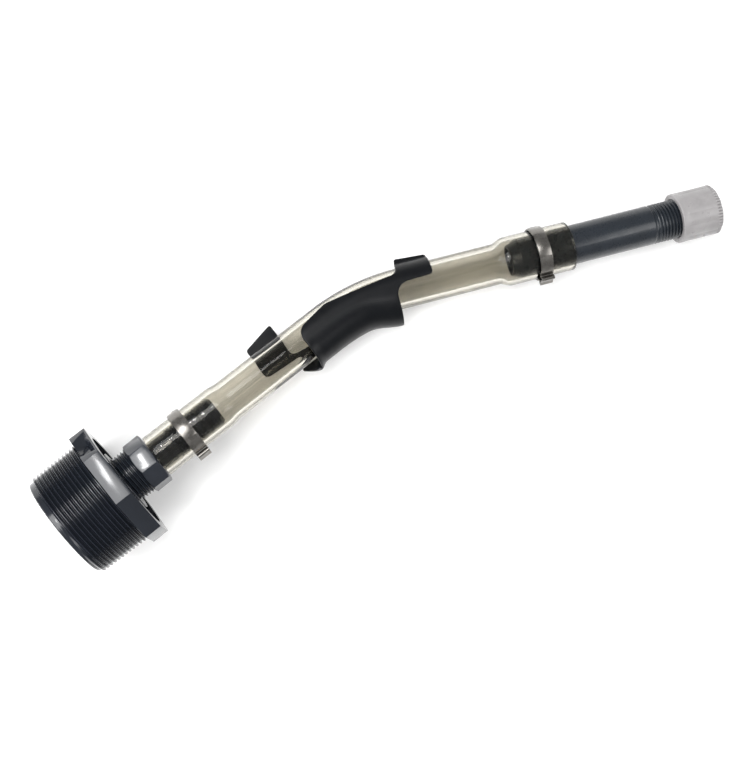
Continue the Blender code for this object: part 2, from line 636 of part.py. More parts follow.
def make_nipple(parts, cutters, material, parent):
    thread_low = NIPPLE_THREAD_START
    profile = [(0, NIPPLE_BORE_RADIUS), (0, NIPPLE_RADIUS - NIPPLE_END_CHAMFER),
               (NIPPLE_END_CHAMFER * 2, NIPPLE_RADIUS), (thread_low, NIPPLE_RADIUS),
               (thread_low + MM, nipple_root(thread_low)),
               (NIPPLE_LENGTH, nipple_root(NIPPLE_LENGTH)), (NIPPLE_LENGTH, NIPPLE_BORE_RADIUS)]
    body = add_object("threaded_nipple", turned_mesh("threaded_nipple", profile, FITTING_SEGMENTS),
                      parts, material)
    ridge = add_object("nipple_ridge", ridge_mesh(
        "nipple_ridge", NIPPLE_RIDGE_START, NIPPLE_LENGTH - 1.2 * MM, PITCH_SMALL, nipple_root,
        FITTING_SEGMENTS, fades=(THREAD_FADE, THREAD_FADE)), cutters)
    skin = add_object("nipple_envelope", turned_mesh("nipple_envelope", [
        (-MM, 0), (-MM, NIPPLE_RADIUS), (NIPPLE_LENGTH + MM, NIPPLE_RADIUS),
        (NIPPLE_LENGTH + MM, 0)], FITTING_SEGMENTS), cutters)
    body.parent = parent
    body.location = (NIPPLE_START - UPPER_FLEX_STATION, 0, 0)
    boolean(body, ridge, "UNION")
    boolean(ridge, skin, "INTERSECT")
    return body


def make_washer(parts, material, parent):
    profile = [(0, WASHER_HOLE_RADIUS), (0, WASHER_RADIUS), (WASHER_THICKNESS, WASHER_RADIUS),
               (WASHER_THICKNESS, WASHER_HOLE_RADIUS)]
    body = add_object("cap_washer", turned_mesh("cap_washer", profile, FITTING_SEGMENTS),
                      parts, material)
    body.parent = parent
    body.location = (NIPPLE_IN_CAP + CLEARANCE, 0, 0)
    return body


def make_cap(parts, cutters, material, parent):
    """Local x = 0 is the cap's rim; nipple_root works in the nipple's own x."""
    rim = NIPPLE_LENGTH - NIPPLE_IN_CAP
    shoulder = NIPPLE_IN_CAP + WASHER_THICKNESS + 2 * CLEARANCE
    mouth = nipple_root(rim) + THREAD_CLEARANCE
    inside = nipple_root(rim + shoulder) + THREAD_CLEARANCE
    face = CAP_LENGTH - CAP_DOME
    profile = [(0, mouth + 1.6 * MM), (0, CAP_RADIUS - 0.6 * MM), (0.6 * MM, CAP_RADIUS),
               (face - CAP_CHAMFER, CAP_RADIUS), (face - 0.4 * MM, CAP_RADIUS - 0.8 * MM),
               (face, CAP_RADIUS - 2.0 * MM), (CAP_LENGTH, CAP_RADIUS - 6.5 * MM), (CAP_LENGTH, 0)]
    inner = [(shoulder + CAP_RECESS_DEPTH, 0), (shoulder + CAP_RECESS_DEPTH, CAP_RECESS_RADIUS - MM),
             (shoulder, CAP_RECESS_RADIUS), (shoulder, inside), (1.6 * MM, mouth)]
    body = add_object("end_cap", turned_mesh("end_cap", [inner[0], *profile[::-1], *inner[:0:-1]],
                      FITTING_SEGMENTS), parts, material)
    body.parent = parent
    ridge = add_object("cap_ridge", ridge_mesh(
        "cap_ridge", in_phase(-2.0 * MM, NIPPLE_RIDGE_START - rim), shoulder - 0.6 * MM,
        PITCH_SMALL, lambda x: nipple_root(rim + x), FITTING_SEGMENTS,
        offset=THREAD_CLEARANCE), cutters)
    boolean(body, ridge)
    bm = bmesh.new()
    for rib in range(CAP_RIB_COUNT):
        angle = 2 * math.pi * (rib + 0.5) / CAP_RIB_COUNT
        made = bmesh.ops.create_cone(bm, cap_ends=True, segments=6, radius1=CAP_GROOVE_RADIUS,
                                     radius2=CAP_GROOVE_RADIUS,
                                     depth=face - CAP_RIM_LENGTH + 2 * MM)
        turn = Matrix.Rotation(angle, 4, "X")
        place = Matrix.Translation(((CAP_RIM_LENGTH + face + 2 * MM) / 2, 0,
                                    CAP_RADIUS + CAP_GROOVE_RADIUS - CAP_RIB_DEPTH))
        lay = Matrix.Rotation(math.pi / 2, 4, "Y")
        bmesh.ops.transform(bm, matrix=turn @ place @ lay, verts=made["verts"])
    grooves = add_object("cap_grooves", mesh_from("cap_grooves", bm), cutters)
    boolean(body, grooves)
    return body


def build():
    clear_scene()
    parts = new_collection("gravel_vacuum_siphon")
    cutters = new_collection("cutters")
    grey = new_material("grey_pvc", (0.055, 0.068, 0.085), 0.32)
    adapter_grey = new_material("adapter_pvc", (0.050, 0.062, 0.078), 0.30)
    pipe_grey = new_material("nipple_pvc", (0.085, 0.10, 0.125), 0.38)
    white = new_material("cap_pvc", (0.62, 0.64, 0.68), 0.35)
    vinyl = new_material("clear_vinyl", (0.80, 0.78, 0.70), 0.08, alpha=0.45, transmission=0.9)
    steel_low = new_material("lower_clamp_steel", (0.55, 0.54, 0.52), 0.28, metallic=1.0)
    steel_high = new_material("upper_clamp_steel", (0.56, 0.55, 0.53), 0.28, metallic=1.0)
    black = new_material("support_plastic", (0.018, 0.020, 0.023), 0.42)
    rubber = new_material("washer_rubber", (0.03, 0.03, 0.03), 0.7)

    rest = add_empty("assembly_rest", parts, location=REST_SHIFT)
    rest.rotation_euler = (REST_ROLL, REST_PITCH, 0)
    lower_pivot = add_empty("hose_flex_lower", parts, rest, path_point(LOWER_FLEX_STATION))
    upper_pivot = add_empty("hose_flex_upper", parts, rest, path_point(UPPER_FLEX_STATION),
                            -BEND_ANGLE)
    cap_pivot = add_empty("cap_axis", parts, upper_pivot,
                          (CAP_RIM_STATION - UPPER_FLEX_STATION, 0, 0))

    make_bushing(parts, cutters, grey, rest)
    make_adapter(parts, cutters, adapter_grey, rest)
    make_clamp("lower_ear_clamp", LOWER_CLAMP_STATION, HOSE_ON_BARB_OUTER,
               parts, cutters, steel_low, rest)
    make_hose(parts, cutters, vinyl, lower_pivot)
    make_support(parts, cutters, black, lower_pivot)
    upper = make_clamp("upper_ear_clamp", UPPER_CLAMP_STATION, HOSE_ON_NIPPLE_OUTER,
                       parts, cutters, steel_high, upper_pivot)
    place_on_upper(upper, UPPER_CLAMP_STATION)
    make_nipple(parts, cutters, pipe_grey, upper_pivot)
    make_washer(parts, rubber, cap_pivot)
    make_cap(parts, cutters, white, cap_pivot)


def place_on_upper(obj, station):
    """Put a piece and its cutters on the upper pivot's own straight line."""
    shift = (station - UPPER_FLEX_STATION, 0, 0)
    pieces = [obj] + [m.object for m in obj.modifiers if m.type == "BOOLEAN"]
    for piece in pieces:
        piece.location = shift
        piece.rotation_euler = (0, 0, 0)


build()
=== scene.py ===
import json
import math

import bmesh
import bpy
import numpy as np
from mathutils import Matrix, Vector


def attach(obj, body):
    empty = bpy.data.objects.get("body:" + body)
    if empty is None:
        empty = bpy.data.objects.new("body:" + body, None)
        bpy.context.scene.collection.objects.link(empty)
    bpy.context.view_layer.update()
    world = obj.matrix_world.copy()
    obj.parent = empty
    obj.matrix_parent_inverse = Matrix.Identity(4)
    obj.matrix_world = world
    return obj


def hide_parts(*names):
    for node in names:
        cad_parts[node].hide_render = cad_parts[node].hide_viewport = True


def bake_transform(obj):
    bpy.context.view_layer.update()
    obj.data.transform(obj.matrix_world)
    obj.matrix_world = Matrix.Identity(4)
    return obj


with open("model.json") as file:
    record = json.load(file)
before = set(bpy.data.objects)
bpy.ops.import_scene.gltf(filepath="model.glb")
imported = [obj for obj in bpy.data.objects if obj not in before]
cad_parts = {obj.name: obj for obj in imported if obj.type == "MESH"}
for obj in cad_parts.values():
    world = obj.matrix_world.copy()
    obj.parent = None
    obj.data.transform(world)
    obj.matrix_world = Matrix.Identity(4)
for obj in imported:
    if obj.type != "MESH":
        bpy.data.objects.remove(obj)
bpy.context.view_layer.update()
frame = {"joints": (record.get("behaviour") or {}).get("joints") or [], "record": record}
MM = 0.001

# ---------------------------------------------------------------- where the assembly lies
joints = {joint["name"]: joint for joint in frame["joints"]}
mounts = {mount["name"]: mount for mount in frame["record"]["mounts"]}
LOWER_FLEX = 118.2 * MM
UPPER_FLEX = 262.4 * MM
along = -Vector(mounts["thread_end_face"]["axis"]).normalized()
up = Vector(joints["hose_flex_lower"]["axis"])
up = (up - along * up.dot(along)).normalized()
side = up.cross(along)
origin = Vector(joints["hose_flex_lower"]["pos_m"]) - along * LOWER_FLEX
FLAT = Matrix((along, side, up)).transposed().to_4x4()
FLAT.translation = origin

# ---------------------------------------------------------------- dimensions along the centreline
BEND_ANGLE = math.radians(24.3)
BEND_RADIUS = 110.0 * MM
BEND_LENGTH = BEND_RADIUS * BEND_ANGLE
BEND_TANGENT = BEND_RADIUS * math.tan(BEND_ANGLE / 2)
BEND_START = 191.5 * MM - BEND_TANGENT
BEND_END = BEND_START + BEND_LENGTH
BEND_MIDDLE = BEND_START + BEND_LENGTH / 2
PATH_LENGTH = BEND_END + 203.3 * MM - BEND_TANGENT
PITCH_LARGE = 25.4 * MM / 11.5
PITCH_SMALL = 25.4 * MM / 14.0
RIDGE_SHARE = 0.70
CREST_SHARE = 0.055
TAPER = 1.0 / 32.0
BUSHING_TIP_RADIUS = 29.35 * MM
ADAPTER_TIP_RADIUS = 12.7 * MM
NIPPLE_TIP_ROOT = 9.1 * MM
BUSHING_LENGTH = 38.3 * MM
THREAD_LENGTH = 29.2 * MM
FLANGE_ACROSS = 63.5 * MM
MOUTH_RADIUS = 24.6 * MM
MOUTH_DEPTH = 19.0 * MM
WEB_HIGH = 23.5 * MM
POCKET_RADIUS = 27.2 * MM
FLANGE_TURN = math.radians(-2.0)
SCALLOP_RADIUS = 11.0 * MM
SCALLOP_HALF = 12.0 * MM
SCALLOP_RISE = 9.6 * MM
SCALLOP_TILT = math.radians(32)
SOCKET_LOW = BUSHING_LENGTH - 12.5 * MM
WRENCH_LOW = BUSHING_LENGTH + 8.1 * MM
WRENCH_HIGH = WRENCH_LOW + 10.6 * MM
WRENCH_ACROSS = 27.1 * MM
HOSE_START = WRENCH_HIGH + 0.3 * MM
INSERT_TIP = HOSE_START + 38.9 * MM
BARB_RADIUS = 8.5 * MM
BARB_ROOT = 7.6 * MM
BARB_PITCH = 5.2 * MM
BARB_SETBACK = 2.2 * MM
RIB_COUNT = 16
BORE = 6.2 * MM
CAP_LENGTH = 24.1 * MM
CAP_DOME = 0.9 * MM
CAP_RADIUS = 13.75 * MM
CAP_FACE = CAP_LENGTH - CAP_DOME
CAP_SHOULDER = 15.1 * MM
CAP_RECESS = 4.4 * MM
CAP_RIM = PATH_LENGTH - CAP_LENGTH + CAP_DOME
HOSE_END = CAP_RIM - 61.5 * MM
NIPPLE_START = HOSE_END - 34.0 * MM
NIPPLE_RADIUS = 10.67 * MM
NIPPLE_LENGTH = 108.0 * MM
NIPPLE_BORE = 6.95 * MM
NIPPLE_IN_CAP = 12.5 * MM
NIPPLE_THREAD_LOW = NIPPLE_LENGTH - 27.5 * MM
LOWER_CLAMP = HOSE_START + 19.8 * MM
UPPER_CLAMP = HOSE_END - 17.0 * MM
HOSE_OUTER = 11.11 * MM
HOSE_INNER = 7.94 * MM
ON_BARB = (8.8 * MM, 11.9 * MM)
ON_NIPPLE = (10.97 * MM, 13.3 * MM)
CLAMP_HALF = 3.5 * MM
CLAMP_WALL = 0.7 * MM

# the support, with stations counted from the bend's middle
SUPPORT_RADIUS = 11.56 * MM
SUPPORT_WALL = 1.8 * MM
CHANNEL_ENDS = (-38.3 * MM, 19.0 * MM)
CHANNEL_GAP = 2.5 * MM
CHANNEL_SPREAD = 4.0 * MM
CHANNEL_FLARE = 2.0 * MM
CHANNEL_DEEP = -30 * MM
KEEP_HEIGHT = 30 * MM
HOOK_WRAP = math.radians(70)
LIP_LENGTH = 11 * MM
LIP_LEAN = math.radians(12)
LOW_HOOK = (-63.4 * MM, -44.8 * MM)
HIGH_HOOK = (23.4 * MM, 40.6 * MM)
SUPPORT_SPAN = (-65.4 * MM, 42.6 * MM)


def path_point(station, out=0.0, rise=0.0):
    """Point of the flat assembly at a station, moved to the bend's outside and up."""
    heading = -min(max(station - BEND_START, 0.0), BEND_LENGTH) / BEND_RADIUS
    point = Vector((min(station, BEND_START), 0, 0))
    point += Vector((-math.sin(heading), math.cos(heading) - 1, 0)) * BEND_RADIUS
    run = Vector((math.cos(heading), math.sin(heading), 0))
    point += run * max(0.0, station - BEND_END)
    return point + Vector((-run.y, run.x, 0)) * out + Vector((0, 0, rise))


def path_frame(station):
    """Matrix whose X runs along the centreline at a station."""
    heading = -min(max(station - BEND_START, 0.0), BEND_LENGTH) / BEND_RADIUS
    return Matrix.Translation(path_point(station)) @ Matrix.Rotation(heading, 4, "Z")


def smooth_step(value):
    value = min(max(value, 0.0), 1.0)
    return value * value * (3 - 2 * value)


# ---------------------------------------------------------------- mesh helpers
def filleted(corners, closed=False, steps=4):
    """Line through corners of (x, y, fillet), with each corner turned into an arc."""
    line = []
    count = len(corners)
    for i, (x, y, radius) in enumerate(corners):
        corner = Vector((x, y))
        if radius == 0 or (not closed and i in (0, count - 1)):
            line.append(corner)
            continue
        before = Vector(corners[i - 1][:2]) - corner
        after = Vector(corners[(i + 1) % count][:2]) - corner
        radius = min(radius, 0.49 * before.length, 0.49 * after.length)
        before.normalize()
        after.normalize()
        half = before.angle(after) / 2
        if abs(half - math.pi / 2) < 1e-3:
            line.append(corner)
            continue
        reach = min(radius / math.tan(half), radius * 3)
        radius = reach * math.tan(half)
        start = corner + before * reach
        centre = corner + (before + after).normalized() * radius / math.sin(half)
        sweep = (math.pi - 2 * half) * (1 if before.cross(after) < 0 else -1)
        for step in range(steps + 1):
            line.append(centre + Matrix.Rotation(sweep * step / steps, 2) @ (start - centre))
    return line


def lathe(bm, profile, segments, radius_of=None):
    """Strip turned about X from (x, radius) points; radius_of(x, radius, angle) can shape it."""
    rings = []
    for x, radius in profile:
        ring = []
        for j in range(segments):
            angle = 2 * math.pi * j / segments
            r = radius_of(x, radius, angle) if radius_of else radius
            ring.append(bm.verts.new((x, -r * math.sin(angle), r * math.cos(angle))))
        rings.append(ring)
    for low, high in zip(rings, rings[1:]):
        for j in range(segments):
            k = (j + 1) % segments
            bm.faces.new((low[j], low[k], high[k], high[j]))


def thread(bm, x_low, x_high, pitch, root_at, start, turns, segments, fades=(0.3, 0.0), flat=None):
    """Screw thread about X from x_low to x_high, its ridge running from start for some turns."""
    height = RIDGE_SHARE * pitch
    crest = CREST_SHARE * pitch
    base = crest + height * math.tan(math.radians(30))
    lifts = [(-pitch / 2, 0), (-base * 1.04, 0.0), (-(crest + base) / 2, 0.5), (-crest, 0.97), (0, 1.0),
             (crest, 0.97), ((crest + base) / 2, 0.5), (base * 1.04, 0.0)]

    def radius(x, angle):
        share = angle / (2 * math.pi)
        turn = round((x - start) / pitch - share)
        best = 0.0
        for k in (turn - 1, turn, turn + 1):
            t = k + share
            if t < 0 or t > turns:
                continue
            gap = abs(x - start - t * pitch)
            rise = height * min(max((base - gap) / (base - crest), 0.0), 1.0)
            rise *= min(1.0, t / fades[0]) if fades[0] else 1.0
            rise *= min(1.0, (turns - t) / fades[1]) if fades[1] else 1.0
            best = max(best, rise)
        made = root_at(x) + best
        return min(made, flat) if flat else made

    first = math.floor((x_low - start) / pitch) - 2
    last = math.ceil((x_high - start) / pitch) + 2
    columns = []
    for j in range(segments + 1):
        angle = 2 * math.pi * (j % segments) / segments
        column = []
        for k in range(first, last):
            for offset, _ in lifts:
                x = start + (k + j / segments) * pitch + offset
                x = min(max(x, x_low), x_high)
                r = radius(x, angle)
                column.append(bm.verts.new((x, -r * math.sin(angle), r * math.cos(angle))))
        columns.append(column)
    for left, right in zip(columns, columns[1:]):
        for low in range(len(left) - 1):
            corners = (left[low], right[low], right[low + 1], left[low + 1])
            if corners[0].co.x == corners[3].co.x and corners[1].co.x == corners[2].co.x:
                continue
            bm.faces.new(corners)
    return radius


def plain_mesh(name, bm):
    mesh = bpy.data.meshes.new(name)
    bm.to_mesh(mesh)
    bm.free()
    return mesh


def mesh_from(name, bm, weld=2e-6, sharp=38):
    """Welded mesh, shaded smooth except at its sharp edges."""
    bmesh.ops.remove_doubles(bm, verts=bm.verts, dist=weld)
    bmesh.ops.dissolve_degenerate(bm, dist=1e-7, edges=bm.edges)
    bmesh.ops.delete(bm, geom=[v for v in bm.verts if not v.link_faces], context="VERTS")
    bmesh.ops.recalc_face_normals(bm, faces=bm.faces)
    return smooth(plain_mesh(name, bm), sharp)


def smooth(mesh, sharp=38):
    mesh.shade_smooth()
    mesh.set_sharp_from_angle(angle=math.radians(sharp))
    return mesh


def add(name, mesh, material=None):
    obj = bpy.data.objects.new(name, mesh)
    bpy.context.scene.collection.objects.link(obj)
    if material:
        mesh.materials.append(material)
    return obj


def baked(obj, sharp=38):
    """Replace an object's mesh by what its modifiers make of it, and drop the cutters."""
    cutters = [m.object for m in obj.modifiers if m.type == "BOOLEAN"]
    evaluated = obj.evaluated_get(bpy.context.evaluated_depsgraph_get())
    mesh = bpy.data.meshes.new_from_object(evaluated)
    obj.modifiers.clear()
    obj.data = smooth(mesh, sharp)
    for cutter in cutters:
        bpy.data.objects.remove(cutter)
    return obj


def carve(obj, cutter, operation="DIFFERENCE"):
    modifier = obj.modifiers.new("Carve", "BOOLEAN")
    modifier.operation = operation
    modifier.solver = "EXACT"
    modifier.object = cutter


def bevel(obj, width, segments=3, angle=35):
    modifier = obj.modifiers.new("Bevel", "BEVEL")
    modifier.width = width
    modifier.segments = segments
    modifier.limit_method = "ANGLE"
    modifier.angle_limit = math.radians(angle)
    modifier.harden_normals = False


def prism(name, sides, across_flats, x_low, x_high):
    bm = bmesh.new()
    corner = across_flats / 2 / math.cos(math.pi / sides)
    bmesh.ops.create_cone(bm, cap_ends=True, segments=sides, radius1=corner, radius2=corner,
                          depth=x_high - x_low)
    turn = Matrix.Rotation(math.pi / sides, 4, "Z")
    lay = Matrix.Rotation(math.pi / 2, 4, "Y")
    bmesh.ops.transform(bm, matrix=Matrix.Translation(((x_low + x_high) / 2, 0, 0)) @ lay @ turn,
                        verts=bm.verts)
    return add(name, plain_mesh(name, bm))


def turned(name, profile, segments):
    """Closed solid of revolution used as a cutter."""
    bm = bmesh.new()
    lathe(bm, [*profile, profile[0]], segments)
    bmesh.ops.remove_doubles(bm, verts=bm.verts, dist=1e-7)
    bmesh.ops.dissolve_degenerate(bm, dist=1e-8, edges=bm.edges)
    bmesh.ops.recalc_face_normals(bm, faces=bm.faces)
    return add(name, plain_mesh(name, bm))


def place(obj, body, slot, *nodes, matrix=None):
    """Bring a piece from the flat assembly to where it lies, and let it ride on its body."""
    obj.data.transform(FLAT @ (matrix or Matrix.Identity(4)))
    obj.data.update()
    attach(obj, body)
    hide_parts(*nodes)
    return obj


# ---------------------------------------------------------------- materials
def nodes_of(name):
    material = bpy.data.materials.new(name)
    material.use_nodes = True
    tree = material.node_tree
    return material, tree.nodes, tree.links, tree.nodes["Principled BSDF"]


def noise_node(nodes, links, vector, scale, detail=4.0, rough=0.55):
    made = nodes.new("ShaderNodeTexNoise")
    made.inputs["Scale"].default_value = scale
    made.inputs["Detail"].default_value = detail
    made.inputs["Roughness"].default_value = rough
    links.new(vector, made.inputs["Vector"])
    return made.outputs["Fac"]


def ramp(nodes, links, value, low, high, from_min=0.3, from_max=0.7):
    made = nodes.new("ShaderNodeMapRange")
    made.inputs["From Min"].default_value = from_min
    made.inputs["From Max"].default_value = from_max
    made.inputs["To Min"].default_value = low
    made.inputs["To Max"].default_value = high
    links.new(value, made.inputs["Value"])
    return made.outputs["Result"]


def mixed(nodes, links, factor, first, second):
    made = nodes.new("ShaderNodeMix")
    made.data_type = "RGBA"
    links.new(factor, made.inputs["Factor"])
    for socket, colour in ((made.inputs[6], first), (made.inputs[7], second)):
        if isinstance(colour, tuple):
            socket.default_value = (*colour, 1.0)
        else:
            links.new(colour, socket)
    return made.outputs[2]


def bumped(nodes, links, shader, layers):
    """Stack bumps of (height, strength, distance) onto a shader."""
    normal = None
    for height, strength, distance in layers:
        made = nodes.new("ShaderNodeBump")
        made.inputs["Strength"].default_value = strength
        made.inputs["Distance"].default_value = distance
        links.new(height, made.inputs["Height"])
        if normal:
            links.new(normal, made.inputs["Normal"])
        normal = made.outputs["Normal"]
    links.new(normal, shader.inputs["Normal"])


def moulded(name, colour, roughness, ripple=0.25, speck=0.12, scuff=1.25, shine=0.5):
    """Injection-moulded plastic: faint flow mottling, scuffed edges, painted shade darkening its crevices
    and hollows, and an orange-peel gloss.
    """
    material, nodes, links, shader = nodes_of(name)
    place_at = nodes.new("ShaderNodeTexCoord").outputs["Object"]
    cloud = noise_node(nodes, links, place_at, 90.0, 5.0)
    fine = noise_node(nodes, links, place_at, 1400.0, 3.0)
    smear = noise_node(nodes, links, place_at, 260.0, 6.0, 0.7)
    dark = tuple(c * 0.86 for c in colour)
    light = tuple(c * 1.14 for c in colour)
    body = mixed(nodes, links, ramp(nodes, links, cloud, 0, 1), dark, light)
    # the surface's curvature drives both the scuffed edges and the painted shade in the crevices
    curvature_for_wear_and_shade = nodes.new("ShaderNodeNewGeometry").outputs["Pointiness"]
    edge = ramp(nodes, links, curvature_for_wear_and_shade, 0.0, 0.45, 0.53, 0.62)
    body = mixed(nodes, links, edge, body, tuple(min(c * scuff + 0.012, 1) for c in colour))
    # painted shade: hollows and crevices, found from the surface's curvature, are darkened towards a
    # third of the colour
    painted_crevice_shade = ramp(nodes, links, curvature_for_wear_and_shade, 1.0, 0.0, 0.40, 0.475)
    body = mixed(nodes, links, painted_crevice_shade, body, tuple(c * 0.3 for c in colour))
    links.new(body, shader.inputs["Base Color"])
    shader.inputs["Specular IOR Level"].default_value = shine
    rough = ramp(nodes, links, smear, roughness * 0.82, roughness * 1.25)
    links.new(rough, shader.inputs["Roughness"])
    shader.inputs["IOR"].default_value = 1.53
    bumped(nodes, links, shader, [(cloud, ripple, 0.0004), (fine, speck, 0.00003)])
    return material


def steel(name, axis):
    """Stainless strip, brushed along its length, with heat-tinted and handled patches."""
    material, nodes, links, shader = nodes_of(name)
    place_at = nodes.new("ShaderNodeTexCoord").outputs["Object"]
    dot = nodes.new("ShaderNodeVectorMath")
    dot.operation = "DOT_PRODUCT"
    dot.inputs[1].default_value = axis
    links.new(place_at, dot.inputs[0])
    lines = nodes.new("ShaderNodeTexNoise")
    lines.noise_dimensions = "1D"
    lines.inputs["Scale"].default_value = 5200.0
    lines.inputs["Detail"].default_value = 4.0
    links.new(dot.outputs["Value"], lines.inputs["W"])
    patch = noise_node(nodes, links, place_at, 210.0, 4.0, 0.6)
    grain = noise_node(nodes, links, place_at, 2600.0, 2.0)
    body = mixed(nodes, links, ramp(nodes, links, patch, 0, 1),
                 (0.165, 0.157, 0.146), (0.225, 0.215, 0.20))
    links.new(body, shader.inputs["Base Color"])
    shader.inputs["Metallic"].default_value = 1.0
    links.new(ramp(nodes, links, patch, 0.22, 0.34), shader.inputs["Roughness"])
    bumped(nodes, links, shader, [(lines.outputs["Fac"], 0.12, 0.00003), (grain, 0.06, 0.00002),
                                  (patch, 0.03, 0.0002)])
    return material


def vinyl(name):
    """Clear flexible PVC with a warm tint, drawn lines along its length, and painted shade darkening its
    edges where the surface turns away from the view.
    """
    material, nodes, links, shader = nodes_of(name)
    lay = nodes.new("ShaderNodeAttribute")
    lay.attribute_name = "lay"
    drawn = noise_node(nodes, links, lay.outputs["Vector"], 1.0, 4.0, 0.6)
    place_at = nodes.new("ShaderNodeTexCoord").outputs["Object"]
    wave = noise_node(nodes, links, place_at, 120.0, 3.0)
    body = mixed(nodes, links, ramp(nodes, links, drawn, 0, 1), (0.63, 0.605, 0.54), (0.73, 0.71, 0.645))
    # painted shade: the tube's edges, where the surface turns away from the view, are darkened towards a
    # dark brown-grey
    rim = nodes.new("ShaderNodeLayerWeight").outputs["Facing"]
    body = mixed(nodes, links, ramp(nodes, links, rim, 0, 1, 0.3, 0.85), body, (0.26, 0.25, 0.215))
    links.new(body, shader.inputs["Base Color"])
    shader.inputs["Transmission Weight"].default_value = 1.0
    shader.inputs["IOR"].default_value = 1.27
    shader.inputs["Specular IOR Level"].default_value = 0.35
    links.new(ramp(nodes, links, wave, 0.02, 0.05), shader.inputs["Roughness"])
    bumped(nodes, links, shader, [(drawn, 0.22, 0.00012), (wave, 0.03, 0.0003)])
    return material


def rubber(name):
    material, nodes, links, shader = nodes_of(name)
    place_at = nodes.new("ShaderNodeTexCoord").outputs["Object"]
    grain = noise_node(nodes, links, place_at, 900.0, 4.0)
    body = mixed(nodes, links, ramp(nodes, links, grain, 0, 1), (0.012, 0.012, 0.013), (0.03, 0.03, 0.03))
    links.new(body, shader.inputs["Base Color"])
    shader.inputs["Roughness"].default_value = 0.7
    bumped(nodes, links, shader, [(grain, 0.3, 0.00005)])
    return material


grey_pvc = moulded("grey_pvc_look", (0.0115, 0.0140, 0.0195), 0.15, ripple=0.1, shine=0.42)
adapter_pvc = moulded("adapter_pvc_look", (0.0175, 0.0210, 0.0285), 0.13, ripple=0.12, shine=0.45)
nipple_pvc = moulded("nipple_pvc_look", (0.0135, 0.0172, 0.0228), 0.28,
                     ripple=0.05, speck=0.05, scuff=1.0, shine=0.4)
cap_pvc = moulded("cap_pvc_look", (0.285, 0.275, 0.277), 0.30, ripple=0.2, scuff=1.05)
support_plastic = moulded("support_look", (0.0030, 0.0036, 0.0048), 0.36,
                          ripple=0.08, speck=0.3, scuff=1.4, shine=0.16)
clear_vinyl = vinyl("clear_vinyl_look")
washer_rubber = rubber("washer_look")


# ---------------------------------------------------------------- threaded bushing
def bushing_root(x):
    return BUSHING_TIP_RADIUS - RIDGE_SHARE * PITCH_LARGE + x * TAPER


def adapter_root(x):
    return ADAPTER_TIP_RADIUS - RIDGE_SHARE * PITCH_SMALL + (x - SOCKET_LOW) * TAPER


def make_bushing():
    segments = 160
    bm = bmesh.new()
    start = 1.9 * MM
    turns = (THREAD_LENGTH + 1.2 * MM - start) / PITCH_LARGE
    lip = 0.5 * MM
    thread(bm, lip, THREAD_LENGTH + 0.4 * MM, PITCH_LARGE, bushing_root, start, turns, segments)
    mouth = filleted([
        (lip, bushing_root(lip), 0), (0, bushing_root(0) - 0.5 * MM, 0.25 * MM),
        (0, MOUTH_RADIUS + 1.6 * MM, 0.2 * MM), (0.8 * MM, MOUTH_RADIUS, 0.6 * MM),
        (MOUTH_DEPTH, MOUTH_RADIUS - 0.25 * MM, 2.2 * MM), (MOUTH_DEPTH, BORE + 4.2 * MM, 1.2 * MM),
        (17.6 * MM, BORE + 1.6 * MM, 0.8 * MM), (17.6 * MM, BORE, 0.6 * MM),
        (SOCKET_LOW - MM, BORE, 0)])
    lathe(bm, mouth, segments)
    pocket = filleted([
        (BUSHING_LENGTH, POCKET_RADIUS, 0), (WEB_HIGH, POCKET_RADIUS - 0.2 * MM, 2.0 * MM),
        (WEB_HIGH, 17.7 * MM, 1.4 * MM),
        (BUSHING_LENGTH, 17.3 * MM, 0.5 * MM), (BUSHING_LENGTH, 14.2 * MM, 0.4 * MM),
        (BUSHING_LENGTH - 1.0 * MM, 13.4 * MM, 0.3 * MM), (SOCKET_LOW - 0.5 * MM, 13.1 * MM, 0.3 * MM),
        (SOCKET_LOW - 0.5 * MM, BORE, 0)])
    lathe(bm, pocket, segments)
    body = add("bushing_threaded_shell", mesh_from("bushing_threaded_shell", bm), grey_pvc)
    place(body, "head", "grey_pvc", "threaded_bushing")

    flange = prism("bushing_octagon_flange", 8, FLANGE_ACROSS, THREAD_LENGTH, BUSHING_LENGTH)
    flange.data.transform(Matrix.Rotation(-FLANGE_TURN, 4, "X"))
    for turn in (1, -1):
        cut = turned(f"scallop_cut_{turn}", [
            (-SCALLOP_HALF, 0), (-SCALLOP_HALF, SCALLOP_RADIUS),
            (SCALLOP_HALF, SCALLOP_RADIUS), (SCALLOP_HALF, 0)], 96)
        onto_flat = Matrix.Rotation(-FLANGE_TURN - math.pi / 4, 4, "X")
        drop = Matrix.Translation((THREAD_LENGTH, 0, turn * (FLANGE_ACROSS / 2 + SCALLOP_RISE)))
        cut.data.transform(onto_flat @ drop @ Matrix.Rotation(turn * SCALLOP_TILT, 4, "Y"))
        carve(flange, cut)
    hole = turned("flange_cut", [
        (THREAD_LENGTH - MM, 0), (THREAD_LENGTH - MM, POCKET_RADIUS),
        (BUSHING_LENGTH + MM, POCKET_RADIUS), (BUSHING_LENGTH + MM, 0)], segments)
    carve(flange, hole)
    bevel(flange, 0.55 * MM, 3)
    baked(flange)
    flange.data.materials.append(grey_pvc)
    place(flange, "head", "grey_pvc", "threaded_bushing")


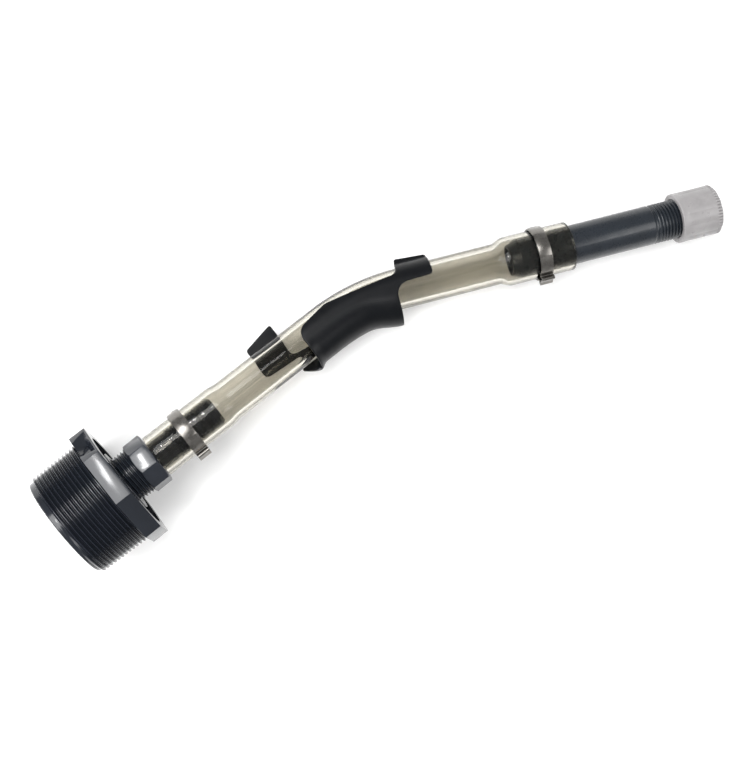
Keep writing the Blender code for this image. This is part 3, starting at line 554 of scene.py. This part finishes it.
# ---------------------------------------------------------------- barbed adapter
def make_adapter():
    segments = 120
    bm = bmesh.new()
    start = SOCKET_LOW + 0.9 * MM
    turns = (WRENCH_LOW + MM - start) / PITCH_SMALL
    thread(bm, SOCKET_LOW, WRENCH_LOW, PITCH_SMALL, adapter_root, start, turns, segments)
    lathe(bm, filleted([
        (SOCKET_LOW, adapter_root(SOCKET_LOW), 0), (SOCKET_LOW, BORE + 0.5 * MM, 0.2 * MM),
        (SOCKET_LOW + 0.5 * MM, BORE, 0.3 * MM), (INSERT_TIP - 0.4 * MM, BORE, 0.2 * MM),
        (INSERT_TIP, BORE + 0.3 * MM, 0)]), segments)
    barbs = [(WRENCH_HIGH - 0.2 * MM, 12.2 * MM, 0),
             (WRENCH_HIGH - 0.2 * MM, BARB_ROOT + 0.4 * MM, 0.3 * MM)]
    first = INSERT_TIP - BARB_SETBACK - 5 * BARB_PITCH
    for rib in range(RIB_COUNT):
        x = first + rib * BARB_PITCH / 3
        barbs += [(x - 0.05 * MM, BARB_ROOT, 0.1 * MM), (x, BARB_RADIUS, 0.1 * MM),
                  (x + 0.35 * MM, BARB_RADIUS, 0.2 * MM)]
    barbs += [(INSERT_TIP - 0.3 * MM, 7.15 * MM, 0.3 * MM), (INSERT_TIP, 6.9 * MM, 0.1 * MM),
              (INSERT_TIP, BORE + 0.3 * MM, 0)]
    lathe(bm, filleted(barbs), segments)
    body = add("adapter_thread_and_barbs", mesh_from("adapter_thread_and_barbs", bm), adapter_pvc)
    place(body, "head", "adapter_pvc", "barb_adapter")

    nut = prism("adapter_wrench_octagon", 8, WRENCH_ACROSS, WRENCH_LOW, WRENCH_HIGH)
    for x, out in ((WRENCH_LOW, -1), (WRENCH_HIGH, 1)):
        rim = turned(f"wrench_chamfer_{out}", [
            (x + out * 3 * MM, 11.6 * MM), (x + out * 3 * MM, 24 * MM), (x - out * 1.2 * MM, 24 * MM),
            (x - out * 1.2 * MM, 15.2 * MM), (x + out * 0.1 * MM, 13.0 * MM)], 96)
        carve(nut, rim)
    hole = turned("wrench_cut", [
        (WRENCH_LOW - MM, 0), (WRENCH_LOW - MM, 8.6 * MM), (WRENCH_HIGH + MM, 8.6 * MM),
        (WRENCH_HIGH + MM, 0)], 96)
    carve(nut, hole)
    bevel(nut, 0.4 * MM, 3, 25)
    baked(nut)
    nut.data.materials.append(adapter_pvc)
    place(nut, "head", "adapter_pvc", "barb_adapter")


# ---------------------------------------------------------------- clear hose
def hose_radii(station):
    on_barb = 1 - smooth_step((station - INSERT_TIP - MM) / (7 * MM))
    on_nipple = smooth_step((station - NIPPLE_START + 8 * MM) / (7 * MM))
    inner = HOSE_INNER + on_barb * (ON_BARB[0] - HOSE_INNER) + on_nipple * (ON_NIPPLE[0] - HOSE_INNER)
    outer = HOSE_OUTER + on_barb * (ON_BARB[1] - HOSE_OUTER) + on_nipple * (ON_NIPPLE[1] - HOSE_OUTER)
    if station < INSERT_TIP:
        phase = ((station - INSERT_TIP + BARB_SETBACK) / BARB_PITCH) % 1.0
        swell = 0.16 * MM * (1 - phase) * smooth_step(phase / 0.12)
        outer += swell - 0.1 * MM
    for clamp in (LOWER_CLAMP, UPPER_CLAMP):
        gap = abs(station - clamp) / MM
        outer -= 0.12 * MM * (1 - smooth_step((gap - 3.4) / 2.0))
    return inner, outer


def make_hose(name, low, high, ends, blend_at):
    """Length of hose between two stations; ends says which of its ends is a real cut end."""
    segments = 72
    count = max(2, round((high - low) / (0.9 * MM)))
    stations = [low + (high - low) * i / count for i in range(count + 1)]
    rows = []
    for station in stations:
        inner, outer = hose_radii(station)
        rows.append((station, outer, inner))
    line = [(s, outer) for s, outer, inner in rows]
    back = [(s, inner) for s, _, inner in reversed(rows)]
    round_off = 0.35 * MM
    bm = bmesh.new()
    lay = bm.verts.layers.float_vector.new("lay")

    def strip(points):
        rings = []
        for station, radius in points:
            ring = []
            for j in range(segments):
                angle = 2 * math.pi * j / segments
                at = path_point(station, radius * math.sin(angle), radius * math.cos(angle))
                vert = bm.verts.new(at)
                vert[lay] = (math.sin(angle) * 9.0, math.cos(angle) * 9.0, station * 18.0)
                ring.append(vert)
            rings.append(ring)
        for a, b in zip(rings, rings[1:]):
            for j in range(segments):
                k = (j + 1) % segments
                bm.faces.new((a[j], a[k], b[k], b[j]))

    if ends[1]:
        s, outer, inner = rows[-1]
        line = line[:-1] + filleted([
            (line[-2][0], line[-2][1], 0), (s, outer, round_off), (s, inner, round_off),
            (back[1][0], back[1][1], 0)], steps=3)[1:-1]
        line += back[1:] if not ends[0] else []
    if ends[0]:
        s, outer, inner = rows[0]
        start = filleted([(rows[1][0], rows[1][2], 0), (s, inner, round_off), (s, outer, round_off),
                          (rows[1][0], rows[1][1], 0)], steps=3)[1:-1]
        line = back[:-1] + start + line[1:]
    strip(line)
    obj = add(name, mesh_from(name, bm), clear_vinyl)
    obj.data.transform(FLAT)
    obj.data.update()
    start, end = (FLAT @ path_point(blend_at + gap * MM) for gap in (-11, 11))
    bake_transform(obj)
    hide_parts("clear_hose")


# ---------------------------------------------------------------- ear clamps
def make_clamp(name, station, hose_radius, body_name, node, slot):
    material = steel(name + "_steel", (FLAT @ path_frame(station)).to_3x3() @ Vector((1, 0, 0)))
    radius = hose_radius + 0.3 * MM
    neck = math.asin(2.6 * MM / radius)
    loop = []
    for step in range(97):
        angle = neck + (2 * math.pi - 2 * neck) * step / 96
        loop.append((radius * math.sin(angle), radius * math.cos(angle), 0))
    top = radius + 2.7 * MM
    ear = filleted([
        (*loop[-1][:2], 0), (-2.3 * MM, radius + 0.8 * MM, 0.5 * MM),
        (-3.55 * MM, top - 0.35 * MM, 0.35 * MM),
        (-3.2 * MM, top, 0.25 * MM), (-1.5 * MM, top - 0.75 * MM, 1.2 * MM),
        (1.5 * MM, top - 0.75 * MM, 1.2 * MM), (3.2 * MM, top, 0.25 * MM),
        (3.55 * MM, top - 0.35 * MM, 0.35 * MM), (2.3 * MM, radius + 0.8 * MM, 0.5 * MM),
        (*loop[0][:2], 0)])
    outline = [Vector(p[:2]) for p in loop] + ear[1:-1]
    edge = CLAMP_HALF - 0.2 * MM
    widths = (-CLAMP_HALF, -edge, -1.2 * MM, 1.2 * MM, edge, CLAMP_HALF)
    bm = bmesh.new()
    rings = []
    for width in widths:
        rings.append([bm.verts.new((width, -y, z)) for z, y in outline])
    for a, b in zip(rings, rings[1:]):
        for i in range(len(outline)):
            bm.faces.new((a[i - 1], a[i], b[i], b[i - 1]))
    bmesh.ops.recalc_face_normals(bm, faces=bm.faces)
    band = add(name, plain_mesh(name, bm))
    wall = band.modifiers.new("Wall", "SOLIDIFY")
    wall.thickness = CLAMP_WALL
    wall.offset = 1
    bevel(band, 0.14 * MM, 2, 50)
    baked(band, 40)
    band.data.materials.append(material)
    place(band, body_name, slot, node, matrix=path_frame(station))

    # the band's overlap: a curved plate with two raised hooks on it
    bm = bmesh.new()

    def arc_plate(x_low, x_high, angle_low, angle_high, r_low, r_high, steps):
        rows = []
        for step in range(steps + 1):
            angle = angle_low + (angle_high - angle_low) * step / steps
            turn = Vector((0, math.cos(angle), math.sin(angle)))
            corners = ((x_low, r_low), (x_high, r_low), (x_high, r_high), (x_low, r_high))
            rows.append([bm.verts.new(turn * r + Vector((x, 0, 0))) for x, r in corners])
        for a, b in zip(rows, rows[1:]):
            for i in range(4):
                bm.faces.new((a[i - 1], a[i], b[i], b[i - 1]))
        bm.faces.new(rows[0])
        bm.faces.new(rows[-1])

    skin = radius + 0.55 * MM
    arc_plate(-2.5 * MM, 2.5 * MM, math.radians(-17), math.radians(17), skin, radius + 1.02 * MM, 10)
    for low, high in ((-11, -4), (3, 10)):
        arc_plate(-0.9 * MM, 0.9 * MM, math.radians(low), math.radians(high), skin, radius + 1.3 * MM, 4)
    arc_plate(-3.3 * MM, 3.3 * MM, math.radians(17), math.radians(118), skin, radius + 0.82 * MM, 30)
    bmesh.ops.recalc_face_normals(bm, faces=bm.faces)
    plate = add(name + "_overlap", plain_mesh(name + "_overlap", bm))
    bevel(plate, 0.1 * MM, 2, 40)
    baked(plate, 40)
    plate.data.materials.append(material)
    place(plate, body_name, slot, node, matrix=path_frame(station))


# ---------------------------------------------------------------- bend support
def make_support():
    radius = SUPPORT_RADIUS
    low_end, high_end = CHANNEL_ENDS
    deep = CHANNEL_DEEP
    hook_low, hook_high = LOW_HOOK
    tab_low, tab_high = HIGH_HOOK

    def section(station):
        spread = CHANNEL_SPREAD * smooth_step((station + 3 * MM) / (high_end + 3 * MM))
        flare = CHANNEL_FLARE * min(max(1 + (low_end - station) / (5 * MM), 0.0), 1.0) ** 2
        depth = CHANNEL_GAP + spread + flare
        half = [(-depth - radius * math.cos(a), radius * math.sin(a))
                for a in (math.pi / 2 * i / 14 for i in range(15))]
        half += [(-depth * (1 - i / 4), radius) for i in range(1, 4)]
        half += [(radius * math.sin(w), radius * math.cos(w))
                 for w in (HOOK_WRAP * i / 12 for i in range(13))]
        out, rise = half[-1]
        half += [(out + LIP_LENGTH * math.cos(LIP_LEAN) * i / 6,
                  rise - LIP_LENGTH * math.sin(LIP_LEAN) * i / 6) for i in range(1, 7)]
        return [(out, -rise) for out, rise in reversed(half[1:])] + half

    bm = bmesh.new()
    rows = []
    for step in range(73):
        mark = SUPPORT_SPAN[0] + (SUPPORT_SPAN[1] - SUPPORT_SPAN[0]) * step / 72
        rows.append([bm.verts.new(path_point(BEND_MIDDLE + mark, out, rise))
                     for out, rise in section(mark)])
    for near, far in zip(rows, rows[1:]):
        for i in range(len(near) - 1):
            bm.faces.new((near[i], near[i + 1], far[i + 1], far[i]))
    shell = add("bend_support_shell", plain_mesh("bend_support_shell", bm))
    wall = shell.modifiers.new("Wall", "SOLIDIFY")
    wall.thickness = SUPPORT_WALL
    wall.offset = -1
    over = filleted([
        (low_end, deep, 0), (high_end, deep, 0), (high_end, -1 * MM, 8 * MM),
        (tab_high, -0.2 * MM, 2 * MM), (tab_high, 13.8 * MM, 1.5 * MM),
        (tab_low, 15.3 * MM, 0.8 * MM), (tab_low - 2 * MM, 4.3 * MM, 4 * MM),
        (-18 * MM, 6.6 * MM, 20 * MM), (low_end, 3.6 * MM, 7 * MM)], True, 8)
    under = filleted([
        (high_end, deep, 0), (low_end, deep, 0), (low_end, -18 * MM, 0), (-46 * MM, -9.5 * MM, 1 * MM),
        (low_end, -3.6 * MM, 2 * MM), (hook_low, -1.2 * MM, 3.5 * MM),
        (hook_low, 16.2 * MM, 1.5 * MM), (hook_high, 19.6 * MM, 1 * MM),
        (hook_high, 0.5 * MM, 4 * MM), (-34 * MM, -1.5 * MM, 3 * MM), (-22 * MM, 5.5 * MM, 8 * MM),
        (10 * MM, 5.5 * MM, 10 * MM), (high_end, -8 * MM, 4 * MM)], True, 8)
    cutters = []
    for name, outline, z_low, z_high in (("keep_over", over, 0, KEEP_HEIGHT),
                                         ("keep_under", under, -KEEP_HEIGHT, 0.02 * MM)):
        curve = bpy.data.curves.new(name, "CURVE")
        curve.dimensions = "2D"
        curve.fill_mode = "BOTH"
        curve.extrude = (z_high - z_low) / 2
        spline = curve.splines.new("POLY")
        spline.use_cyclic_u = True
        spline.points.add(len(outline) - 1)
        for point, (station, out) in zip(spline.points, outline):
            at = path_point(BEND_MIDDLE + station, out)
            point.co = (at.x, at.y, 0, 1)
        holder = add(name + "_line", curve)
        bpy.context.view_layer.update()
        bm = bmesh.new()
        bm.from_mesh(bpy.data.meshes.new_from_object(
            holder.evaluated_get(bpy.context.evaluated_depsgraph_get())))
        bpy.data.objects.remove(holder)
        bmesh.ops.remove_doubles(bm, verts=bm.verts, dist=1e-7)
        bmesh.ops.translate(bm, vec=(0, 0, (z_low + z_high) / 2), verts=bm.verts)
        cutters.append(add(name, plain_mesh(name, bm)))
    carve(cutters[0], cutters[1], "UNION")
    carve(shell, cutters[0], "INTERSECT")
    baked(shell)
    if cutters[1].name in bpy.data.objects:
        bpy.data.objects.remove(cutters[1])
    remesh = shell.modifiers.new("Skin", "REMESH")
    remesh.mode = "VOXEL"
    remesh.voxel_size = 0.36 * MM
    ease = shell.modifiers.new("Ease", "SMOOTH")
    ease.factor = 0.5
    ease.iterations = 6
    thin = shell.modifiers.new("Thin", "DECIMATE")
    thin.ratio = 0.22
    baked(shell, 60)
    shell.data.materials.clear()
    shell.data.materials.append(support_plastic)
    place(shell, "hose_middle", "support_plastic", "bend_support")


# ---------------------------------------------------------------- nipple, washer and cap
def nipple_root(x):
    return NIPPLE_TIP_ROOT + (NIPPLE_LENGTH - x) * TAPER


def make_nipple():
    segments = 120
    low = NIPPLE_THREAD_LOW
    bm = bmesh.new()
    start = low + 1.2 * MM
    turns = (NIPPLE_LENGTH - 1.2 * MM - start) / PITCH_SMALL

    def root(x):
        return NIPPLE_RADIUS - (NIPPLE_RADIUS - nipple_root(x)) * smooth_step((x - low) / (1.4 * MM))

    thread(bm, low, NIPPLE_LENGTH - 0.4 * MM, PITCH_SMALL, root,
           start, turns, segments, (0.5, 0.3), NIPPLE_RADIUS + 0.02 * MM)
    lathe(bm, filleted([
        (low, NIPPLE_RADIUS, 0), (4.8 * MM, NIPPLE_RADIUS, 1.2 * MM), (0, 8.27 * MM, 0.35 * MM),
        (0, NIPPLE_BORE, 0.35 * MM), (NIPPLE_LENGTH, NIPPLE_BORE, 0.3 * MM),
        (NIPPLE_LENGTH, nipple_root(NIPPLE_LENGTH) - 0.3 * MM, 0.2 * MM),
        (NIPPLE_LENGTH - 0.4 * MM, nipple_root(NIPPLE_LENGTH - 0.4 * MM), 0)]), segments)
    body = add("nipple_pipe", mesh_from("nipple_pipe", bm), nipple_pvc)
    place(body, "nipple_end", "nipple_pvc", "threaded_nipple", matrix=path_frame(NIPPLE_START))


def make_washer():
    bm = bmesh.new()
    lathe(bm, filleted([
        (0, 5.0 * MM, 0.35 * MM), (0, 8.95 * MM, 0.5 * MM), (2 * MM, 8.95 * MM, 0.5 * MM),
        (2 * MM, 5.0 * MM, 0.35 * MM), (0, 5.0 * MM, 0.35 * MM)], steps=4), 72)
    body = add("cap_seal_washer", mesh_from("cap_seal_washer", bm), washer_rubber)
    seat = CAP_RIM + NIPPLE_IN_CAP + 0.3 * MM
    place(body, "washer", "washer_rubber", "cap_washer", matrix=path_frame(seat))


def make_cap():
    segments = 384
    face = CAP_FACE
    shoulder = CAP_SHOULDER
    root = nipple_root(NIPPLE_LENGTH - NIPPLE_IN_CAP)

    def ribbed(x, radius, angle):
        """Broad shallow flats round the barrel, and fine teeth round the far edge."""
        if radius < 9.6 * MM or x < 0.5 * MM:
            return radius
        run = smooth_step((x - 2.6 * MM) / (1.2 * MM))
        rib = abs(math.cos(angle * 6)) ** 0.7
        deep = 0.3 * MM * run * (1 - rib) * smooth_step((radius - 10.5 * MM) / (1.5 * MM))
        edge = smooth_step((x - face + 3.4 * MM) / (0.8 * MM))
        edge *= smooth_step((face - 0.25 * MM - x) / (0.5 * MM))
        tooth = 0.5 - 0.5 * math.cos(angle * 48)
        return radius - deep - 0.75 * MM * edge * tooth ** 2

    outer = filleted([
        (1.6 * MM, root + 0.3 * MM, 0), (0, root + 1.6 * MM, 0.25 * MM),
        (0, CAP_RADIUS - 0.1 * MM, 0.7 * MM),
        (face - 1.3 * MM, CAP_RADIUS, 0.8 * MM), (face - 0.4 * MM, CAP_RADIUS - 1.0 * MM, 0.4 * MM),
        (face, CAP_RADIUS - 2.2 * MM, 0.5 * MM), (CAP_LENGTH - 0.2 * MM, CAP_RADIUS - 6.6 * MM, 0.6 * MM),
        (CAP_LENGTH - 0.2 * MM, 2.2 * MM, 0.3 * MM), (CAP_LENGTH - 0.5 * MM, 1.9 * MM, 0.2 * MM),
        (CAP_LENGTH - 0.5 * MM, 0.02 * MM, 0)], steps=5)
    fine = [outer[0]]
    for near, far in zip(outer, outer[1:]):
        pieces = max(1, math.ceil((far - near).length / (0.6 * MM)))
        fine += [near.lerp(far, i / pieces) for i in range(1, pieces + 1)]
    bm = bmesh.new()
    lathe(bm, fine, segments, ribbed)
    inner = filleted([
        (1.6 * MM, root + 0.3 * MM, 0), (shoulder - 0.4 * MM, root - 0.1 * MM, 0.3 * MM),
        (shoulder, 7.4 * MM, 0.3 * MM), (shoulder + CAP_RECESS, 6.4 * MM, 0.6 * MM),
        (shoulder + CAP_RECESS, 0.02 * MM, 0)])
    lathe(bm, inner, segments)
    body = add("screw_cap", mesh_from("screw_cap", bm, sharp=50), cap_pvc)
    place(body, "cap", "cap_pvc", "end_cap", matrix=path_frame(CAP_RIM))


make_bushing()
make_adapter()
make_hose("hose_lower_run", HOSE_START, BEND_MIDDLE, (True, False), LOWER_FLEX)
make_hose("hose_upper_run", BEND_MIDDLE, HOSE_END, (False, True), UPPER_FLEX)
make_clamp("lower_clamp_band", LOWER_CLAMP, ON_BARB[1], "head",
           "lower_ear_clamp", "lower_clamp_steel")
make_clamp("upper_clamp_band", UPPER_CLAMP, ON_NIPPLE[1], "nipple_end",
           "upper_ear_clamp", "upper_clamp_steel")
make_support()
make_nipple()
make_washer()
make_cap()


# ---------------------------------------------------------------- floor, light and camera
def make_floor():
    bm = bmesh.new()
    bmesh.ops.create_grid(bm, x_segments=1, y_segments=1, size=3.0)
    material, nodes, links, shader = nodes_of("floor_look")
    place_at = nodes.new("ShaderNodeTexCoord").outputs["Object"]
    cloud = noise_node(nodes, links, place_at, 3.0, 3.0)
    body = mixed(nodes, links, cloud, (0.86, 0.86, 0.855), (0.88, 0.88, 0.875))
    links.new(body, shader.inputs["Base Color"])
    shader.inputs["Roughness"].default_value = 0.8
    shader.inputs["Emission Color"].default_value = (1.0, 1.0, 1.0, 1.0)
    shader.inputs["Emission Strength"].default_value = 0.18
    floor = add("floor", plain_mesh("floor", bm), material)


def softbox(name, location, target, size, power, colour=(1, 1, 1)):
    light = bpy.data.lights.new(name, "AREA")
    light.shape = "RECTANGLE"
    light.size, light.size_y = size
    light.energy = power
    light.color = colour
    obj = bpy.data.objects.new(name, light)
    bpy.context.scene.collection.objects.link(obj)
    obj.location = location
    aim = Vector(target) - Vector(location)
    obj.rotation_euler = aim.to_track_quat("-Z", "Y").to_euler()


def glint(name, piece_point, normal, reach, size, power):
    """Small softbox placed so that its reflection on a flat reaches the camera."""
    at = FLAT @ piece_point
    facing = (FLAT.to_3x3() @ normal).normalized()
    seen = (camera.location - at).normalized()
    away = 2 * facing.dot(seen) * facing - seen
    softbox(name, at + away * reach, at, size, power)


camera_data = bpy.data.cameras.new("camera")
camera_data.lens = 50.222
camera_data.sensor_width = 36.0
camera_data.clip_start = 0.01
camera = bpy.data.objects.new("camera", camera_data)
bpy.context.scene.collection.objects.link(camera)
camera.location = (-0.05211, 0.03604, 0.58686)
camera.rotation_euler = [math.radians(a) for a in (-1.749, -5.492, -37.9)]
bpy.context.scene.camera = camera

make_floor()
softbox("overhead", (-0.25, 0.55, 1.35), (0, 0, 0), (1.1, 0.8), 18.0)
softbox("fill", (0.9, -0.7, 1.1), (0, 0, 0.02), (1.0, 0.8), 9.0)
softbox("window", (-1.0, 0.1, 0.75), (-0.1, 0.02, 0.03), (0.35, 0.6), 6.0)
top_flat = Vector((0, math.sin(FLANGE_TURN), math.cos(FLANGE_TURN)))
flange_spot = Vector((THREAD_LENGTH + 2 * MM, 0, 0)) + top_flat * FLANGE_ACROSS / 2
glint("flange_glint", flange_spot, top_flat, 0.9, (0.13, 0.05), 0.9)
wrench_spot = Vector((WRENCH_LOW + 3.6 * MM, 0, 13.5 * MM))
glint("octagon_glint", wrench_spot, Vector((0, 0, 1)), 0.9, (0.07, 0.07), 0.7)
world = bpy.data.worlds.new("studio")
bpy.context.scene.world = world
world.use_nodes = True
world.node_tree.nodes["Background"].inputs["Color"].default_value = (1.0, 1.0, 1.0, 1.0)
world.node_tree.nodes["Background"].inputs["Strength"].default_value = 0.42
bpy.context.scene.view_settings.view_transform = "Standard"
